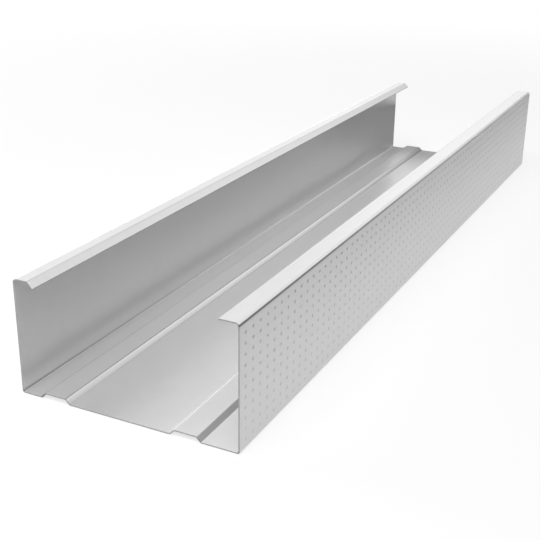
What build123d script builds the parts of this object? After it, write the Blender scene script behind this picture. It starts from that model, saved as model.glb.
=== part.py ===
from build123d import *

import math
import os

# A wall stud rolled from one strip of zinc-coated steel sheet. It lies on the back of its web with the two flanges
# up. X runs across the web, Y along the stud and Z up, and the origin is under the middle of the web.

# Sheet and length
sheet_thickness = 0.6
stud_length = 408.0

# Web, measured over the outside of both flanges: a nominal 95 mm stud less what lets it into its track
web_width = 93.8

# Flanges, measured from the back of the web to the outside of the lip. The narrow one goes inside the wide one of
# a second stud when two are boxed together.
wide_flange_height = 49.8
narrow_flange_height = 47.1

# Stiffening ribs, pressed up from the back of the web
rib_height = 1.9
rib_base_width = 12.8
rib_side_angle = 45.0
strip_beside_narrow_flange = 9.2
strip_beside_wide_flange = 15.4

# Lips along the free edges of the flanges
wide_lip_width = 8.0
narrow_lip_flat = 6.5
curl_drop = 2.6
curl_angle = 46.0

# Bends, each measured on the hollow side of the sheet
web_bend_radius = 0.65
lip_bend_radius = 1.05
curl_bend_radius = 0.9
rib_bend_radius = 0.5

# Corners of the line that the outside of the sheet follows, from the edge of the curled lip round to the edge of
# the flat one. The sheet lies on the left of that line.
narrow_side = -web_width / 2
wide_side = web_width / 2
curl_run = curl_drop / math.tan(math.radians(curl_angle))
rib_side_run = rib_height / math.tan(math.radians(rib_side_angle))


def rib_corners(start):
    """The four corners of one rib whose base starts at this place across the web."""
    end = start + rib_base_width
    return [
        (start, 0),
        (start + rib_side_run, rib_height),
        (end - rib_side_run, rib_height),
        (end, 0),
    ]


curled_lip_corners = [
    (narrow_side + narrow_lip_flat + curl_run, narrow_flange_height - curl_drop),
    (narrow_side + narrow_lip_flat, narrow_flange_height),
]
first_rib = rib_corners(narrow_side + strip_beside_narrow_flange)
second_rib = rib_corners(wide_side - strip_beside_wide_flange - rib_base_width)
flat_lip_edge = (wide_side - wide_lip_width, wide_flange_height)

outside_corners = [
    *curled_lip_corners,
    (narrow_side, narrow_flange_height),
    (narrow_side, 0),
    *first_rib,
    *second_rib,
    (wide_side, 0),
    (wide_side, wide_flange_height),
    flat_lip_edge,
]

# A bend that is hollow on the inside of the stud is one sheet thickness larger on the outside line. The two top
# corners of a rib are hollow on the back of the web, so there the line has the bend's own radius.
rib_foot = rib_bend_radius + sheet_thickness
rib_radii = [rib_foot, rib_bend_radius, rib_bend_radius, rib_foot]
outside_radii = [
    curl_bend_radius + sheet_thickness,
    lip_bend_radius + sheet_thickness,
    web_bend_radius + sheet_thickness,
    *rib_radii,
    *rib_radii,
    web_bend_radius + sheet_thickness,
    lip_bend_radius + sheet_thickness,
]

# The section stands at the far end, so that the stud is drawn towards -Y and ends up centred on the origin
section_plane = Plane.XZ.offset(-stud_length / 2)

with BuildPart() as steel_stud:
    with BuildSketch(section_plane):
        with BuildLine():
            FilletPolyline(*outside_corners, radius=outside_radii)
            offset(amount=sheet_thickness, side=Side.LEFT)
        make_face()
    extrude(amount=stud_length)

steel_stud.part.label = "steel_stud"

os.makedirs("parts", exist_ok=True)
export_step(steel_stud.part, "parts/steel_stud.step")

section_area = steel_stud.part.volume / stud_length
size = steel_stud.part.bounding_box().size
print(f"section {section_area:.2f} mm2, volume {steel_stud.part.volume:.0f} mm3")
print(f"box {size.X:.2f} x {size.Y:.2f} x {size.Z:.2f} mm, {len(steel_stud.part.faces())} faces")
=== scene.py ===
# %% [markdown]
# # A wall stud rolled from galvanized steel
#
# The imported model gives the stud's real size and place. This lesson dresses it: it makes the sheet again as
# one closed surface, with the pressed dimples that the plain solid leaves out, and gives it a zinc finish.

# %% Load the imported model
import math

import bpy
import numpy as np
from mathutils import Matrix, Vector


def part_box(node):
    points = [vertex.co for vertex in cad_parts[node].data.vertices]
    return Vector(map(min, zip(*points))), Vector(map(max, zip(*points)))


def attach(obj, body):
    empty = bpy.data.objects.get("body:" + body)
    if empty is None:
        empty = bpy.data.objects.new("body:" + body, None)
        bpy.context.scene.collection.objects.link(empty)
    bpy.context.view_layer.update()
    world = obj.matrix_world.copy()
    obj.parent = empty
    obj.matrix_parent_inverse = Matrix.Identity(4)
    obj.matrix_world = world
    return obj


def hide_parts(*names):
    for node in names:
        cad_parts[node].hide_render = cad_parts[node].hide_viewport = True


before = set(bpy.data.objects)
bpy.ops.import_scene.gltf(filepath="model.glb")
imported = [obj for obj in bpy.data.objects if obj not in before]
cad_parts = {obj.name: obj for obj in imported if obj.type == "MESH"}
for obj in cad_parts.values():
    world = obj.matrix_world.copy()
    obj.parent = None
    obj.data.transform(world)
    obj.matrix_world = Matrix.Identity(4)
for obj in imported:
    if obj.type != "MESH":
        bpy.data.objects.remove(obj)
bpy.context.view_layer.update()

mm = 0.001
stud_low, stud_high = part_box("steel_stud")
stud_length = stud_high.y - stud_low.y
web_width = stud_high.x - stud_low.x
wide_flange_height = stud_high.z
print("stud in mm", [round(v / mm, 2) for v in (web_width, stud_length, wide_flange_height)])

# %% [markdown]
# ## The camera
#
# A picture fixes its own viewpoint: parallel edges that meet far away give the focal length, and the known
# size of the section gives the distance. The camera stands in front of the near end and to the right, looks
# down by about 22 degrees and leans by less than one. Its long lens keeps the far end from shrinking too
# much.

# %% Put the camera where the picture was taken
camera_place = Vector((0.1844, -0.4603, 0.1867))
camera_turn = math.radians(26.33)
camera_dip = math.radians(22.13)
camera_lean = math.radians(0.70)
picture_side = 540
focal_length_in_pixels = 991.7
sensor_width = 36.0


def new_object(name, data):
    """An object that holds this camera, lamp or mesh, linked into the scene."""
    made = bpy.data.objects.new(name, data)
    bpy.context.scene.collection.objects.link(made)
    return made


camera_data = bpy.data.cameras.new("camera")
camera_data.sensor_width = sensor_width
camera_data.lens = focal_length_in_pixels / picture_side * sensor_width
camera = new_object("camera", camera_data)
camera.matrix_world = (
    Matrix.Translation(camera_place)
    @ Matrix.Rotation(camera_turn, 4, "Z")
    @ Matrix.Rotation(math.pi / 2 - camera_dip, 4, "X")
    @ Matrix.Rotation(camera_lean, 4, "Z")
)
bpy.context.scene.camera = camera
bpy.context.scene.view_settings.view_transform = "Standard"
print(f"lens {camera_data.lens:.1f} mm")

# %% [markdown]
# ## Shader maths as plain sums
#
# A finish is a net of small nodes, and drawing that net by hand hides the idea behind it. Here one class
# wraps a socket, so that `0.3 + 0.1 * grain` adds the two Math nodes by itself. Every other node comes from
# one method that takes the node's type, its settings and what goes into its sockets.


# %% A finish, and the signals that run through it
class Finish:
    """One material or world, and the nodes that it is made of."""

    def __init__(self, owner):
        self.tree = owner.node_tree
        self.tree.nodes.clear()

    def node(self, kind, settings=None, sockets=None, output=0):
        """Adds a node, sets it up, then fills its sockets with values or signals."""
        made = self.tree.nodes.new(kind)
        for name, value in (settings or {}).items():
            setattr(made, name, value)
        for name, value in (sockets or {}).items():
            if isinstance(value, Signal):
                self.tree.links.new(value.socket, made.inputs[name])
            else:
                made.inputs[name].default_value = value
        return Signal(self, made.outputs[output]) if made.outputs else made


class Signal:
    """An output socket. A sum or product with another signal or number adds a Math node."""

    def __init__(self, finish, socket):
        self.finish = finish
        self.socket = socket

    def maths(self, operation, first, second):
        """The Math node that does this operation on two signals or numbers."""
        return self.finish.node("ShaderNodeMath", {"operation": operation}, {0: first, 1: second})

    def __add__(self, other):
        return self.maths("ADD", self, other)

    def __sub__(self, other):
        return self.maths("SUBTRACT", self, other)

    def __rsub__(self, other):
        return self.maths("SUBTRACT", other, self)

    def __mul__(self, other):
        return self.maths("MULTIPLY", self, other)

    __radd__ = __add__
    __rmul__ = __mul__


def new_finish(name):
    """A fresh material with an empty node tree."""
    material = bpy.data.materials.new(name)
    material.use_nodes = True
    return material, Finish(material)


def grey(level):
    """An even grey as a colour: 0 is black and 1 is white."""
    return level, level, level, 1


# %% [markdown]
# ## A white room
#
# Bare metal has hardly any colour of its own: it shows the room. So the room is made first. A real one
# would be hung with white cloth and lit. Here the world is plain white wherever the camera or a reflection
# meets it, and almost dark as a light. That keeps the white around the stud apart from the light on it,
# which is left to the lamps, and both can be set without a look at the other.

# %% The world
world_light = 0.02


def watched(finish):
    """1 for a ray from the camera, off a shiny surface or through glass, 0 for one that gathers light."""
    seen = finish.node("ShaderNodeLightPath", output="Is Camera Ray")
    ray_kinds = seen.socket.node.outputs
    mirrored = Signal(finish, ray_kinds["Is Glossy Ray"])
    through = Signal(finish, ray_kinds["Is Transmission Ray"])
    return seen + mirrored + through


world = bpy.data.worlds.new("studio")
bpy.context.scene.world = world
world.use_nodes = True
room = Finish(world)
sky_strength = world_light + (1 - world_light) * watched(room)
sky = room.node("ShaderNodeBackground", None, {"Color": grey(1), "Strength": sky_strength})
room.node("ShaderNodeOutputWorld", None, {"Surface": sky})
print("the world lights the stud at", world_light, "of the white that it shows")

# %% [markdown]
# ## The floor
#
# The stud lies on a pale matt sheet, which takes its soft shadow. A matt sheet alone is never as white as
# the world, so its edge would show as a line. It could be bent up behind the stud as in a photographer's
# sweep, but then it would show in the metal. So it glows instead: partly near the stud, where the shadow
# has to stay, and wholly farther out, where it becomes one with the world.

# %% A floor that fades to white
floor_side = 6.0
floor_white = 0.9
glow_near = 0.7
glow_far = 1.0
glow_grows_from = 0.3
glow_grows_over = 0.6


def folded_sheet(name, left, right, profile, material):
    """A sheet whose folds run along X. The profile is its line seen from the side, as (y, z) points.

    Each point of the profile gives one point on the left and one on the right, and each stretch between two
    points gives one quad.
    """
    points = [(x, y, z) for y, z in profile for x in (left, right)]
    faces = [(2 * k, 2 * k + 1, 2 * k + 3, 2 * k + 2) for k in range(len(profile) - 1)]
    mesh = bpy.data.meshes.new(name)
    mesh.from_pydata(points, [], faces)
    mesh.materials.append(material)
    return new_object(name, mesh)


floor_material, paper = new_finish("pale floor")
place = paper.node("ShaderNodeTexCoord", output="Object")
from_stud = paper.node("ShaderNodeVectorMath", {"operation": "LENGTH"}, {0: place}, "Value")
glow_share = paper.node("ShaderNodeMapRange", {"interpolation_type": "SMOOTHSTEP"}, {
    "Value": from_stud,
    "From Min": glow_grows_from,
    "From Max": glow_grows_from + glow_grows_over,
    "To Min": glow_near,
    "To Max": glow_far,
})
matt = paper.node("ShaderNodeBsdfDiffuse", None, {"Color": grey(floor_white)})
glow = paper.node("ShaderNodeEmission", None, {"Color": grey(1), "Strength": 1.0})
both = paper.node("ShaderNodeMixShader", None, {0: glow_share * watched(paper), 1: matt, 2: glow})
paper.node("ShaderNodeOutputMaterial", None, {"Surface": both})

reach = floor_side / 2
floor = folded_sheet("floor", -reach, reach, [(-reach, 0), (reach, 0)], floor_material)
print("floor", floor_side, "m, wholly white from", round(glow_grows_from + glow_grows_over, 2), "m out")

# %% [markdown]
# ## The lamps
#
# Small lamps would leave hard spots on metal. Broad ones give it soft, even tones, and where a lamp stands
# decides which faces it lights. Two big ones high in front light the web, both lips and the outside of the
# wide flange. A low one on the left shines over the narrow flange at the inside of the wide one. Weak ones
# behind are there for the metal to mirror: they brighten the web and the ribs a little and draw the bright
# lines along the bends.

# %% Eight soft lamps
lamp_distance = 1.5
broader = (1.2, 1.2)
broad = (0.9, 0.9)
small = (0.5, 0.5)
low_strip = (0.5, 0.22)


def soft_lamp(name, bearing, rise, size, power):
    """A flat lamp that faces the stud, at this bearing from +X towards +Y and this rise above the floor."""
    turn = math.radians(bearing)
    lift = math.radians(rise)
    data = bpy.data.lights.new(name, "AREA")
    data.shape = "RECTANGLE"
    data.size, data.size_y = size
    data.energy = power
    lamp = new_object(name, data)
    level = math.cos(lift)
    lamp.location = lamp_distance * Vector((level * math.cos(turn), level * math.sin(turn), math.sin(lift)))
    lamp.rotation_mode = "QUATERNION"
    lamp.rotation_quaternion = (-lamp.location).to_track_quat("-Z", "Y")
    lamp.visible_camera = False


soft_lamp("front", bearing=270, rise=62, size=broader, power=13.9)
soft_lamp("front right", bearing=300, rise=60, size=broad, power=10.0)
soft_lamp("left", bearing=180, rise=12, size=broad, power=18.8)
soft_lamp("high behind", bearing=110, rise=62, size=broader, power=1.4)
soft_lamp("behind", bearing=100, rise=25, size=small, power=0.53)
soft_lamp("behind right", bearing=61, rise=22, size=small, power=0.9)
soft_lamp("low behind", bearing=120, rise=5, size=low_strip, power=1.15)
soft_lamp("low behind left", bearing=140, rise=5, size=low_strip, power=2.2)
print("lamps", [lamp.name for lamp in bpy.data.lights])

# %% [markdown]
# ## Dark cards for the metal to mirror
#
# White all round makes metal look like plastic, so a photographer puts dark cards about. One lies on the
# floor a hand's width off the wide flange: the higher up the flange, the farther out on the floor is what
# it mirrors, so its outside darkens upwards. A tall one stands behind it and darkens the flange towards its
# far end. A low one is folded: its foot lies close behind the far end and its back stands up, so the inside
# of the channel darkens towards its end. Only reflections see the cards, so they neither hide the stud nor
# shade the floor.

# %% The cards, seen only by reflections
card_grey = 0.29
cards_right = 0.9
above_floor = 0.4 * mm
tall_card_left = 0.02
tall_card_place = 0.5
tall_card_height = 0.15
side_card_gap = 80 * mm
side_card_near = -0.35
low_card_overhang = 10 * mm
low_card_foot = 3 * mm
low_card_back = 22 * mm
low_card_height = 27 * mm

card_material, felt = new_finish("dark card")
felt_look = felt.node("ShaderNodeBsdfDiffuse", None, {"Color": grey(card_grey)})
felt.node("ShaderNodeOutputMaterial", None, {"Surface": felt_look})


def dark_card(name, left, right, profile):
    """A folded card that only reflections see."""
    card = folded_sheet(name, left, right, profile, card_material)
    card.visible_camera = False
    card.visible_shadow = False
    card.visible_diffuse = False


dark_card("tall_card", tall_card_left, cards_right, [
    (tall_card_place, 0),
    (tall_card_place, tall_card_height),
])
dark_card("side_card", stud_high.x + side_card_gap, cards_right, [
    (side_card_near, above_floor),
    (tall_card_place, above_floor),
])
dark_card("low_card", stud_low.x - low_card_overhang, stud_high.x, [
    (stud_high.y + low_card_foot, above_floor),
    (stud_high.y + low_card_back, above_floor),
    (stud_high.y + low_card_back, low_card_height),
])
print("three cards of grey", card_grey)

# %% [markdown]
# ## The line of the section
#
# The real sheet is a flat strip that pairs of rolls bend a little further at each stand. The result is one
# line with rounded corners, the same all along the stud, so that line is what has to be right. It starts at
# the edge of the curled lip, runs down the narrow flange, over the two ribs of the web and up the wide
# flange, and ends at the edge of the flat lip. It is the outside of the sheet, and the sheet lies on its
# left. Only its corners are given as numbers, and the bends are worked out from their radii, so a size can
# be changed without redrawing.

# %% Sizes of the section, and its corners
sheet = 0.6 * mm
narrow_flange_height = 47.1 * mm
rib_height = 1.9 * mm
rib_base = 12.8 * mm
strip_beside_narrow_flange = 9.2 * mm
strip_beside_wide_flange = 15.4 * mm
wide_lip = 8.0 * mm
narrow_lip_flat = 6.5 * mm
curl_drop = 2.6 * mm
curl_angle = math.radians(46.0)
web_bend = 0.65 * mm
lip_bend = 1.05 * mm
curl_bend = 0.9 * mm
rib_bend = 0.5 * mm

narrow_side = stud_low.x
wide_side = stud_high.x
curl_run = curl_drop / math.tan(curl_angle)


def rib_corners(start):
    """The four corners of a rib with sides at 45 degrees, so that they run in as far as they rise."""
    end = start + rib_base
    return [(start, 0), (start + rib_height, rib_height), (end - rib_height, rib_height), (end, 0)]


corners = np.array([
    (narrow_side + narrow_lip_flat + curl_run, narrow_flange_height - curl_drop),
    (narrow_side + narrow_lip_flat, narrow_flange_height),
    (narrow_side, narrow_flange_height),
    (narrow_side, 0),
    *rib_corners(narrow_side + strip_beside_narrow_flange),
    *rib_corners(wide_side - strip_beside_wide_flange - rib_base),
    (wide_side, 0),
    (wide_side, wide_flange_height),
    (wide_side - wide_lip, wide_flange_height),
])
rib_radii = [rib_bend + sheet, rib_bend, rib_bend, rib_bend + sheet]
radii = np.array([
    curl_bend + sheet,
    lip_bend + sheet,
    web_bend + sheet,
    *rib_radii,
    *rib_radii,
    web_bend + sheet,
    lip_bend + sheet,
])
print(len(corners), "corners,", len(radii), "of them rounded")


# %% Round every corner at once
def round_corners(corners, radii, steps):
    """Arcs in place of the inner corners of a line: points and left-hand normals, as (corner, step, 2).

    A corner that turns by a gets an arc of radius r that starts r * tan(a / 2) before it. The arc's centre
    lies r off the incoming side, where the line turns to. Each point is the centre less r times the normal
    there, and the normal turns evenly through a. The normals of the first and the last side come with them.
    """
    sides = np.diff(corners, axis=0)
    sides /= np.linalg.norm(sides, axis=1, keepdims=True)
    heading = np.unwrap(np.arctan2(sides[:, 1], sides[:, 0]))
    turn = np.diff(heading)
    signed_radius = (np.sign(turn) * radii)[:, None]
    left = np.stack([-np.sin(heading), np.cos(heading)], 1)
    start = corners[1:-1] - sides[:-1] * (radii * np.tan(np.abs(turn) / 2))[:, None]
    centre = start + left[:-1] * signed_radius
    angle = heading[:-1, None] + turn[:, None] * np.linspace(0, 1, steps)
    normal = np.stack([-np.sin(angle), np.cos(angle)], -1)
    return centre[:, None] - normal * signed_radius[:, None], normal, left[[0, -1]]


bend_steps = 11
arc_points, arc_normals, end_normals = round_corners(corners, radii, bend_steps)
print("arcs", arc_points.shape)

# %% [markdown]
# ## Rows for the dimples
#
# Both flanges are knurled with small round dimples in straight rows, so that a screw's point doesn't
# wander. They could be a bump in the finish, but real hollows also catch the light at a slant and from
# close by. So each dimple gets a rectangular cell of the flange. The cells' borders are lines of the
# sheet's grid, and the section line gets one extra point for each border between two rows.

# %% The dimples' pattern
row_pitch = 4.09 * mm
first_row = 4.2 * mm
wide_rows = 11
narrow_rows = 10
column_pitch = 5.45 * mm
first_column = 4.14 * mm
column_count = 74

row_borders = first_row + row_pitch * (np.arange(wide_rows + 1) - 0.5)
column_borders = stud_low.y + first_column + column_pitch * (np.arange(column_count + 1) - 0.5)
up_the_wide_flange = np.stack([np.full(wide_rows + 1, wide_side), row_borders], 1)
down_the_narrow_flange = np.stack([np.full(narrow_rows + 1, narrow_side), row_borders[narrow_rows::-1]], 1)
print(wide_rows, "rows on the wide flange,", narrow_rows, "on the narrow one,", column_count, "columns")

# %% The section line with its rows
beside_edge = 0.3 * mm
bends_before_narrow_rows = 2
bends_before_wide_rows = len(radii) - 1


def join_line(ends, arcs, narrow, wide):
    """One line from two points at each end, its arcs and both flanges' rows, in the section's order."""
    width = arcs.shape[-1]
    return np.concatenate([
        ends[:2],
        arcs[:bends_before_narrow_rows].reshape(-1, width),
        narrow,
        arcs[bends_before_narrow_rows:bends_before_wide_rows].reshape(-1, width),
        wide,
        arcs[bends_before_wide_rows:].reshape(-1, width),
        ends[2:],
    ])


def turned_right(vectors):
    """Each vector turned by a quarter to its right: (x, z) becomes (z, -x)."""
    return np.stack([vectors[..., 1], -vectors[..., 0]], -1)


heading_in, heading_out = turned_right(end_normals)
line_ends = np.array([
    corners[0],
    corners[0] + beside_edge * heading_in,
    corners[-1] - beside_edge * heading_out,
    corners[-1],
])
line = join_line(line_ends, arc_points, down_the_narrow_flange, up_the_wide_flange)
narrow_inward = np.tile([1.0, 0.0], (narrow_rows + 1, 1))
wide_inward = np.tile([-1.0, 0.0], (wide_rows + 1, 1))
line_normals = join_line(np.repeat(end_normals, 2, axis=0), arc_normals, narrow_inward, wide_inward)
line_length = np.linalg.norm(np.diff(line, axis=0), axis=1).sum()
print(f"{len(line)} points, {line_length / mm:.1f} mm along the outside of the sheet")

# %% [markdown]
# ## Painted shade and painted highlights along the bends
#
# Each bend gets a painted shade along it, so that it shows as a fine dark line, and where its number is below
# zero it gets a painted highlight instead. How strong it is differs from bend to bend: strong at the foot of
# the narrow flange, the first rib and the wide lip, gentle at the curl and the narrow lip. The painted light
# is not the same at the two ends of the stud, so a bend has one number at each end and changes evenly between
# them. Across a bend the painted shade swells from nothing to its full value and back. Painting all this by
# hand would work too, but a short table is easier to correct.

# %% The painted shade (above zero) or painted highlight (below zero) of each point of the section line, on the outside and on the inside of the stud
bend_table = np.array([
    # outside near and far, inside near and far, strongest place of the painted light along the arc, reach to
    # both sides of it
    (0.2, 0.2, 0.2, 0.2, 0.5, 0.5),      # curl
    (0.1, 0.0, 0.2, 0.2, 0.8, 0.4),      # narrow lip
    (0.4, 0.4, 0.7, -0.6, 0.3, 0.5),     # foot of the narrow flange
    (0.3, 0.3, 0.6, 0.6, 1.0, 0.8),      # first rib
    (0.3, 0.3, 0.6, 0.6, 0.0, 0.8),
    (0.3, 0.3, 0.6, 0.5, 0.45, 0.45),
    (0.3, 0.3, 0.45, 0.8, 0.3, 0.6),
    (0.3, 0.3, -3.0, -3.0, 1.0, 1.0),    # second rib
    (0.3, 0.3, -3.0, -3.0, 0.0, 1.0),
    # the second rib's right side: painted shade from both of its bends
    (0.3, 0.3, 0.3, 0.3, 1.0, 0.8),
    (0.3, 0.3, 0.3, 0.3, 0.0, 0.8),
    (0.4, 0.4, 0.3, 0.3, 0.5, 0.5),      # foot of the wide flange
    (0.8, -0.3, 0.3, 0.3, 0.22, 0.28),   # wide lip
])
outside_near, outside_far, inside_near, inside_far, strongest_paint_place, paint_reach = bend_table.T
brightest = -0.6


def painted_light_along(strengths):
    """The painted shade of every point of the section line, for one strength a bend, and a painted highlight
    where it is below zero.

    Along a bend it is strength * cos(d * pi / 2)^2, where d is the distance from the strongest place as a
    share of the reach of the painted light. It stops at the brightest value, so a strength far below that
    gives a painted highlight with a steep edge.
    """
    from_dullest = (np.linspace(0, 1, bend_steps) - strongest_paint_place[:, None]) / paint_reach[:, None]
    arcs = strengths[:, None] * np.cos(np.clip(from_dullest, -1, 1) * np.pi / 2) ** 2
    arcs = np.maximum(arcs, brightest)[..., None]
    ends = np.zeros((len(line_ends), 1))
    narrow = np.zeros((narrow_rows + 1, 1))
    wide = np.zeros((wide_rows + 1, 1))
    return join_line(ends, arcs, narrow, wide)[:, 0]


# painted shade, and painted highlight below zero, of every point at the near and the far end
near_painted_light = painted_light_along(outside_near), painted_light_along(inside_near)
far_painted_light = painted_light_along(outside_far), painted_light_along(inside_far)
print("strongest dulling at the near end", [float(face.max().round(2)) for face in near_painted_light])

# %% [markdown]
# ## Both faces of the sheet
#
# A Solidify modifier could give the sheet its thickness, but it shares out its corners in its own way. Here
# the other face is the same line moved by the sheet's thickness along its normals, which keeps the bends
# concentric as in real bending. The strip's slit edges aren't knife sharp, so each gets a tiny rounding.
# The result is one closed loop, and its point number i faces point number i from the end across the sheet,
# which later lets the two cut ends be closed with a plain ladder of quads.

# %% Close the line into a loop
slit_radius = 0.15 * mm
edge_steps = 3
quarter = np.linspace(0, np.pi / 2, edge_steps)[:, None]


def slit_edge(point, left, outward):
    """The two rounded corners of a slit edge, each a quarter circle that turns from normal to normal."""
    to_edge = -left * np.cos(quarter) + outward * np.sin(quarter)
    from_edge = outward * np.cos(quarter) + left * np.sin(quarter)
    lower = point + left * slit_radius - outward * slit_radius + to_edge * slit_radius
    upper = point + left * (sheet - slit_radius) - outward * slit_radius + from_edge * slit_radius
    return lower, upper, to_edge, from_edge


start_lower, start_upper, start_to, start_from = slit_edge(line[0], line_normals[0], -heading_in)
end_lower, end_upper, end_to, end_from = slit_edge(line[-1], line_normals[-1], heading_out)
inner_face = line + sheet * line_normals
loop = np.concatenate([
    start_lower[::-1],
    line[1:-1],
    end_lower,
    end_upper,
    inner_face[-2:0:-1],
    start_upper[::-1],
])
loop_normals = np.concatenate([
    start_to[::-1],
    -line_normals[1:-1],
    end_to,
    end_from,
    line_normals[-2:0:-1],
    start_from[::-1],
])
at_slit = np.zeros(edge_steps)
loop_near, loop_far = [
    np.concatenate([at_slit, outside[1:-1], at_slit, at_slit, inside[-2:0:-1], at_slit])
    for outside, inside in (near_painted_light, far_painted_light)
]
loop_count = len(loop)
after = np.roll(loop, -1, axis=0)
area = 0.5 * (loop[:, 0] * after[:, 1] - after[:, 0] * loop[:, 1]).sum()
print(f"{loop_count} points round the loop, section {area / mm**2:.1f} mm2")

# %% [markdown]
# ## Carry the loop along the stud
#
# The surface is a function of two numbers: which point of the loop, and which station along the stud. An
# extruded curve would look the same, but it gives no say over where the stations lie, and the dimples need
# one between every two columns. At each end the loop shrinks a little over the last stations, so the cut
# edges catch a thin line of light. The normals are worked out with the points, not left to averaging, so
# flat faces shade flat right up to a bend. On the side of the second rib that has a painted highlight, the
# normals lean up, their part across the web cut to a fraction, so that with the painted highlight the side
# shows as a bright line.

# %% Stations along the stud, and the grid of points
end_radius = 0.06 * mm
end_turn = np.linspace(0, np.pi / 2, edge_steps)
end_offset = end_radius * (1 - np.cos(end_turn))
stations = np.concatenate([stud_low.y + end_offset, column_borders, stud_high.y - end_offset[::-1]])
upright = np.full(column_count + 1, np.pi / 2)
lean = np.concatenate([end_turn, upright, end_turn[::-1]])
end_sign = np.concatenate([np.full(edge_steps, -1.0), np.zeros(column_count + 1), np.ones(edge_steps)])
shrink = end_radius * (1 - np.sin(lean))

across = loop[:, None, :] - loop_normals[:, None, :] * shrink[None, :, None]
grid_shape = across.shape[:2]
grid_points = np.stack([across[..., 0], np.broadcast_to(stations, grid_shape), across[..., 1]], -1)
number = np.arange(loop_count * len(stations)).reshape(grid_shape)
print("grid", grid_shape)

# %% Normals of the grid, with those of the side with the painted highlight leaning up
painted_bright_lean = 0.15

# the points with a painted highlight, on one side of the second rib
painted_bright = loop_near < 0
seen_normals = np.where(painted_bright[:, None], loop_normals * [painted_bright_lean, 1.0], loop_normals)
seen_normals /= np.linalg.norm(seen_normals, axis=1, keepdims=True)
grid_normals = np.stack([
    seen_normals[:, 0, None] * np.sin(lean),
    np.broadcast_to(end_sign * np.cos(lean), grid_shape),
    seen_normals[:, 1, None] * np.sin(lean),
], -1)
print(int(painted_bright.sum()), "points round the loop are rubbed")

# %% Quads of the sides and of the two cut ends
next_number = np.roll(number, -1, axis=0)
side_quads = np.stack([number[:, :-1], number[:, 1:], next_number[:, 1:], next_number[:, :-1]], -1)

bends_between_rows = bends_before_wide_rows - bends_before_narrow_rows
narrow_start = edge_steps + 1 + bends_before_narrow_rows * bend_steps
wide_start = narrow_start + narrow_rows + 1 + bends_between_rows * bend_steps
kept = np.ones(side_quads.shape[:2], bool)
for start, rows in ((narrow_start, narrow_rows), (wide_start, wide_rows)):
    kept[start:start + rows, edge_steps:edge_steps + column_count] = False

rung = np.arange(loop_count // 2 - 1)
ladder = np.stack([rung, rung + 1, loop_count - 2 - rung, loop_count - 1 - rung], -1)
near_quads = number[:, 0][ladder]
far_quads = number[:, -1][ladder][:, ::-1]
sheet_quads = np.concatenate([side_quads[kept], near_quads, far_quads])
print(len(sheet_quads), "quads, with", int((~kept).sum()), "cells left open for dimples")

# %% [markdown]
# ## Press the dimples
#
# A knurling roll presses each dimple into the outside of the flange. Round the middle of a cell, three
# rings of points sink by depth * (1 - (r / R)^2)^2, which meets the flange with no crease. The outermost
# ring is joined to the four corners of the cell, so the dimples and the rest of the sheet are one
# watertight surface. Copies of a loose dimple would be quicker to place, but they would only lie in the
# sheet and not be part of it.

# %% The shape of one dimple
dimple_radius = 1.0 * mm
dimple_depth = 0.2 * mm
spokes = 12
ring_shares = np.array([0.35, 0.7, 1.0])

spoke_turn = np.arange(spokes) * 2 * np.pi / spokes
share = np.concatenate([[0.0], np.repeat(ring_shares, spokes)])
turn = np.concatenate([[0.0], np.tile(spoke_turn, len(ring_shares))])
off_along = dimple_radius * share * np.cos(turn)
off_upward = dimple_radius * share * np.sin(turn)
sink = dimple_depth * (1 - share**2) ** 2
slope = -4 * dimple_depth / dimple_radius * share * (1 - share**2)
points_per_dimple = len(share)
steepest = math.degrees(math.atan(np.abs(slope).max()))
print(points_per_dimple, f"points for a dimple, its sides at up to {steepest:.0f} degrees")

# %% Points of the dimples
column_middles = (column_borders[:-1] + column_borders[1:]) / 2


def dimple_points(face, outward, rows):
    """Points and normals of one flange's dimples, column after column.

    The face is the flange's place across the web and outward is +1 or -1. Seen from outside, the spokes run
    anticlockwise, so along the stud the first one points with outward. Each point lies inside the face by
    its sink, and its normal leans from straight out by the slope there.
    """
    y = column_middles[:, None, None] + outward * off_along
    z = (first_row + row_pitch * np.arange(rows))[None, :, None] + off_upward
    y, z = np.broadcast_arrays(y, z)
    x = np.broadcast_to(face - outward * sink, y.shape)
    points = np.stack([x, y, z], -1).reshape(-1, 3)
    straight_out = np.full(points_per_dimple, outward)
    facing = np.stack([straight_out, outward * slope * np.cos(turn), slope * np.sin(turn)], -1)
    facing /= np.linalg.norm(facing, axis=1, keepdims=True)
    return points, np.tile(facing, (column_count * rows, 1))


wide_points, wide_normals = dimple_points(wide_side, 1.0, wide_rows)
narrow_points, narrow_normals = dimple_points(narrow_side, -1.0, narrow_rows)
print(len(wide_points), "points on the wide flange and", len(narrow_points), "on the narrow one")

# %% Faces of the dimples
cell_corner_count = 4
spokes_a_corner = spokes // cell_corner_count


def corners_of_cells(rows_start, rows, rises, outward):
    """Grid numbers of each cell's corners, anticlockwise from outside.

    The first is the upper one on the side that the first spoke points to. Rises says whether the grid's rows
    run up that flange or down.
    """
    block = number[rows_start:rows_start + rows + 1, edge_steps:edge_steps + column_count + 1].T
    block = block if rises else block[:, ::-1]
    low_near, low_far = block[:-1, :-1], block[1:, :-1]
    high_near, high_far = block[:-1, 1:], block[1:, 1:]
    if outward > 0:
        order = (high_far, high_near, low_near, low_far)
    else:
        order = (high_near, high_far, low_far, low_near)
    return np.stack(order, -1).reshape(-1, cell_corner_count)


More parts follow.
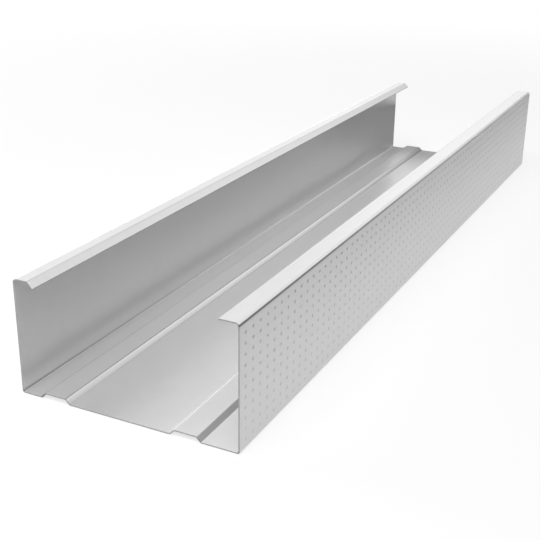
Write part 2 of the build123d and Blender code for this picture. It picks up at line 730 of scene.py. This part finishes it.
def dimple_faces(cell_corners, first_number):
    """Triangles and quads of one flange's dimples, whose points are numbered on from the first number.

    A fan of triangles closes the middle and walls of quads join each ring to the next. A skirt of triangles
    joins every side of the last ring to the nearest corner of the cell, and one more triangle fills each
    side of the cell.
    """
    base = first_number + points_per_dimple * np.arange(len(cell_corners))[:, None]
    spoke = np.arange(spokes)
    ring = [base + 1 + spokes * k + spoke for k in range(len(ring_shares))]
    ring_after = [np.roll(numbers, -1, axis=1) for numbers in ring]
    middle = np.broadcast_to(base, ring[0].shape)
    fan = np.stack([middle, ring[0], ring_after[0]], -1)
    walls = [np.stack([a, b, d, c], -1) for a, b, c, d in zip(ring, ring[1:], ring_after, ring_after[1:])]
    corner_of_spoke = np.repeat(cell_corners, spokes_a_corner, axis=1)
    skirt = np.stack([ring[-1], corner_of_spoke, ring_after[-1]], -1)
    corner_before = np.roll(cell_corners, 1, axis=1)
    sides = np.stack([corner_before, cell_corners, ring[-1][:, ::spokes_a_corner]], -1)
    triangles = np.concatenate([fan.reshape(-1, 3), skirt.reshape(-1, 3), sides.reshape(-1, 3)])
    return triangles, np.concatenate([wall.reshape(-1, 4) for wall in walls])


wide_cells = corners_of_cells(wide_start, wide_rows, True, 1.0)
narrow_cells = corners_of_cells(narrow_start, narrow_rows, False, -1.0)
wide_triangles, wide_quads = dimple_faces(wide_cells, number.size)
narrow_triangles, narrow_quads = dimple_faces(narrow_cells, number.size + len(wide_points))
dimple_count = len(wide_cells) + len(narrow_cells)
print(len(wide_cells), "dimples on the wide flange and", len(narrow_cells), "on the narrow one")

# %% [markdown]
# ## One closed mesh
#
# Everything goes into one mesh, because the real stud is one sheet. Three numbers are kept with every point
# for the finish: how deep it lies in a dimple, whether it is on an edge that was cut after the zinc went
# on, and how much painted shade or painted highlight its bend gets. A finish can read such numbers as plain
# signals, with no picture to paint.

# %% Put the points and faces together
points = np.concatenate([grid_points.reshape(-1, 3), wide_points, narrow_points])
normals = np.concatenate([grid_normals.reshape(-1, 3), wide_normals, narrow_normals])
triangles = np.concatenate([wide_triangles, narrow_triangles])
quads = np.concatenate([sheet_quads, wide_quads, narrow_quads])

stud_mesh = bpy.data.meshes.new("galvanized_stud")
stud_mesh.from_pydata(points.tolist(), [], quads.tolist() + triangles.tolist())
stud_mesh.polygons.foreach_set("use_smooth", np.ones(len(stud_mesh.polygons), bool))
stud_mesh.validate()
stud_mesh.normals_split_custom_set_from_vertices(normals.tolist())
stud = new_object("galvanized_stud", stud_mesh)
triangle_count = sum(len(polygon.vertices) - 2 for polygon in stud_mesh.polygons)
print(triangle_count, "triangles")

# %% Three numbers for every point
no_dimple = np.zeros(number.size)
in_dimple = np.concatenate([no_dimple, np.tile(1 - share**2, dimple_count)])

from_loop_end = np.minimum(np.arange(loop_count), np.arange(loop_count)[::-1])
from_loop_middle = np.abs(np.arange(loop_count) - (loop_count - 1) / 2)
cut_grid = np.zeros(grid_shape)
cut_grid[:, [0, -1]] = 1.0
cut_grid[(from_loop_end < edge_steps) | (from_loop_middle < edge_steps)] = 1.0

# painted shade and painted highlight of the bends, blended from the near end to the far end
near_share = 1 - (stations - stations[0]) / stud_length
painted_bend_light_grid = np.outer(loop_near, near_share) + np.outer(loop_far, 1 - near_share)

on_flanges = np.zeros(len(wide_points) + len(narrow_points))
on_cut = np.concatenate([cut_grid.ravel(), on_flanges])
painted_bend_light = np.concatenate([painted_bend_light_grid.ravel(), on_flanges])
for name, values in (("dimple", in_dimple), ("cut", on_cut), ("bend", painted_bend_light)):
    stud_mesh.attributes.new(name, "FLOAT", "POINT").data.foreach_set("value", values)
    print(name, "runs from", round(float(values.min()), 2), "to", round(float(values.max()), 2))

# %% [markdown]
# ## The zinc finish
#
# Hot-dip zinc on thin sheet is bright but soft: a satin metal, with a faint mottle where its small crystals
# met and faint lines along the stud from the rolls. The mottle is a Voronoi pattern and the lines are noise
# stretched along the stud, and both change the colour and the roughness by only a few percent. A photograph
# of zinc could be wrapped round instead, but it would blur from close by and brings its own light with it.
# A dimple gets a painted shade, darkest at its middle, and the cut edges, bare of zinc, are greyer and
# rougher.
# Along a bend the colour gets a painted shade by its number, and a painted highlight where the number is
# below zero. Where the painted highlight is strong, the zinc is smoother too.

# %% Galvanized steel
zinc_grey = 0.635
zinc_roughness = 0.37
zinc_metal = 0.7
crystal_scale = 320.0
crystal_tint = 0.012
crystal_roughness = 0.03
line_stretch = (900.0, 25.0, 900.0)
line_detail = 3.0
line_tint = 0.02
line_roughness = 0.04
# painted shade in the dimples: the share of the grey taken off at a dimple's middle
dimple_painted_shade = 0.17
cut_shade = 0.45
cut_roughness = 0.2
# where the painted highlight is strong, the roughness drops
smooth_below = -0.3
smoothing = 0.7

zinc_material, zinc = new_finish("galvanized steel")
place = zinc.node("ShaderNodeTexCoord", output="Object")
crystals = {"Vector": place, "Scale": crystal_scale}
crystal = zinc.node("ShaderNodeTexVoronoi", {"feature": "F1"}, crystals, "Color")
crystal = zinc.node("ShaderNodeSeparateColor", None, {"Color": crystal}) - 0.5
stretched = zinc.node("ShaderNodeMapping", None, {"Vector": place, "Scale": line_stretch})
lines = {"Vector": stretched, "Scale": 1.0, "Detail": line_detail}
roll_line = zinc.node("ShaderNodeTexNoise", None, lines) - 0.5
dimple, cut, bend = [
    zinc.node("ShaderNodeAttribute", {"attribute_name": name}, output="Fac")
    for name in ("dimple", "cut", "bend")
]

mottled = zinc_grey + crystal_tint * crystal + line_tint * roll_line
# the grey with painted shade in the dimples, darker bare cut edges, painted shade along the bends and painted
# highlight where their number is below zero
shade = mottled * (1 - dimple_painted_shade * dimple) * (1 - cut_shade * cut) * (1 - bend)
colour = zinc.node("ShaderNodeCombineColor", None, {"Red": shade, "Green": shade, "Blue": shade})
grain = crystal_roughness * crystal + line_roughness * roll_line
painted_bright_smoothing = bend.maths("MINIMUM", bend - smooth_below, 0.0)
roughness = zinc_roughness + grain + cut_roughness * cut + smoothing * painted_bright_smoothing
look = {"Base Color": colour, "Metallic": zinc_metal, "Roughness": roughness}
metal = zinc.node("ShaderNodeBsdfPrincipled", None, look)
zinc.node("ShaderNodeOutputMaterial", None, {"Surface": metal})
stud_mesh.materials.append(zinc_material)
print(len(zinc_material.node_tree.nodes), "nodes in the zinc finish")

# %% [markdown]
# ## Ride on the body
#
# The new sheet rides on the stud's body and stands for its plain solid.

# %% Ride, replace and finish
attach(stud, "root")
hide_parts("steel_stud")
